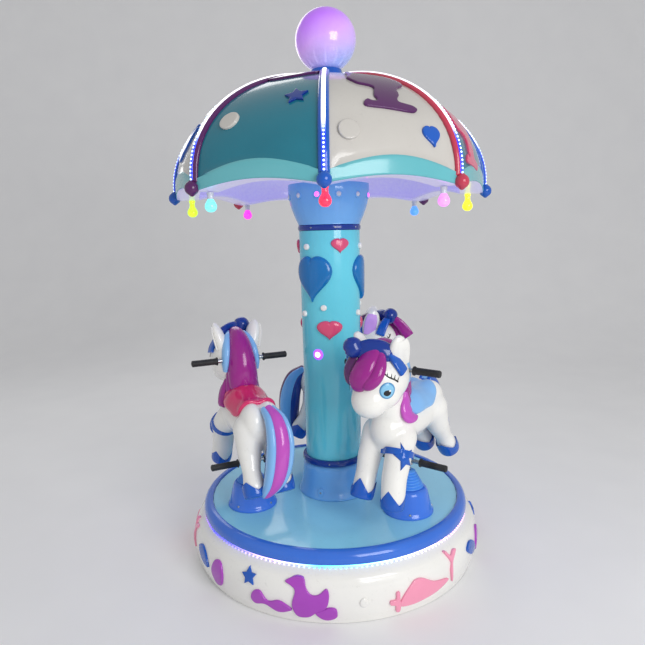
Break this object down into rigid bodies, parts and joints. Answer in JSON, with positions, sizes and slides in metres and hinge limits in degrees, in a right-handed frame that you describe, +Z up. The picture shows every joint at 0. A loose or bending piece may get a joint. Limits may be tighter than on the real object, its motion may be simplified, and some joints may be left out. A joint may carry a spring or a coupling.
{
  "type": "umbrella carousel with ponies",
  "caption": "Small fairground carousel: a turning platform with ponies that rise and fall, under an umbrella canopy on a round column.",
  "frame": {"origin": "on the floor, at the centre of the base's underside, on the axis the platform turns about", "axes": "+Z up, -Y towards the side that the picture shows, +X to its right"},
  "size_m": [1.4574, 1.46, 2.4465],
  "materials": {
    "white_gelcoat": "glossy white gelcoat on glass-fibre moulding",
    "aqua_gelcoat": "glossy aqua paint",
    "deck_gelcoat": "semi-gloss light aqua deck paint",
    "blue_gelcoat": "glossy royal blue paint",
    "sky_gelcoat": "glossy sky blue paint",
    "navy_gelcoat": "glossy navy blue paint",
    "steel": "zinc plated steel",
    "rubber": "black moulded rubber grip",
    "bellows_rubber": "blue moulded rubber bellows",
    "lamp_plastic": "translucent lamp plastic, lit from inside",
    "led_strip": "clear cover over a row of light-emitting diodes"
  },
  "bodies": {
    "base": {"base_housing": "white_gelcoat", "base_led_strip": "led_strip", "turntable_bearing": "steel"},
    "turntable": {"platform_deck": "deck_gelcoat", "platform_rim": "blue_gelcoat", "column_foot": "sky_gelcoat", "column_foot_band": "navy_gelcoat", "column_shaft": "aqua_gelcoat", "column_top_band": "navy_gelcoat", "column_capital": "sky_gelcoat", "column_mast": "steel", "canopy_hub": "steel", "canopy_shell": "aqua_gelcoat", "canopy_ribs": "blue_gelcoat", "globe_lamp": "lamp_plastic", "canopy_bulb_1": "lamp_plastic", "canopy_bulb_2": "lamp_plastic", "canopy_bulb_3": "lamp_plastic", "canopy_bulb_4": "lamp_plastic", "canopy_bulb_5": "lamp_plastic", "canopy_bulb_6": "lamp_plastic", "canopy_bulb_7": "lamp_plastic", "canopy_bulb_8": "lamp_plastic", "pony_1_mount": "blue_gelcoat", "pony_1_bellows": "bellows_rubber", "pony_2_mount": "blue_gelcoat", "pony_2_bellows": "bellows_rubber", "pony_3_mount": "blue_gelcoat", "pony_3_bellows": "bellows_rubber"},
    "pony_1": {"pony_1_post": "steel", "pony_1_body": "white_gelcoat", "pony_1_handlebar": "rubber", "pony_1_footrest": "rubber"},
    "pony_2": {"pony_2_post": "steel", "pony_2_body": "white_gelcoat", "pony_2_handlebar": "rubber", "pony_2_footrest": "rubber"},
    "pony_3": {"pony_3_post": "steel", "pony_3_body": "white_gelcoat", "pony_3_handlebar": "rubber", "pony_3_footrest": "rubber"}
  },
  "joints": [
    {"name": "turntable_spin", "type": "hinge", "parent": "base", "child": "turntable", "pos_m": [0, 0, 0.236], "axis": [0, 0, 1], "continuous": true},
    {"name": "pony_1_lift", "type": "slide", "parent": "turntable", "child": "pony_1", "axis": [0, 0, 1], "range_m": [-0.05, 0.015], "deforming": ["pony_1_bellows"]},
    {"name": "pony_2_lift", "type": "slide", "parent": "turntable", "child": "pony_2", "axis": [0, 0, 1], "range_m": [-0.02, 0.045], "deforming": ["pony_2_bellows"]},
    {"name": "pony_3_lift", "type": "slide", "parent": "turntable", "child": "pony_3", "axis": [0, 0, 1], "range_m": [-0.02, 0.045], "deforming": ["pony_3_bellows"]}
  ]
}
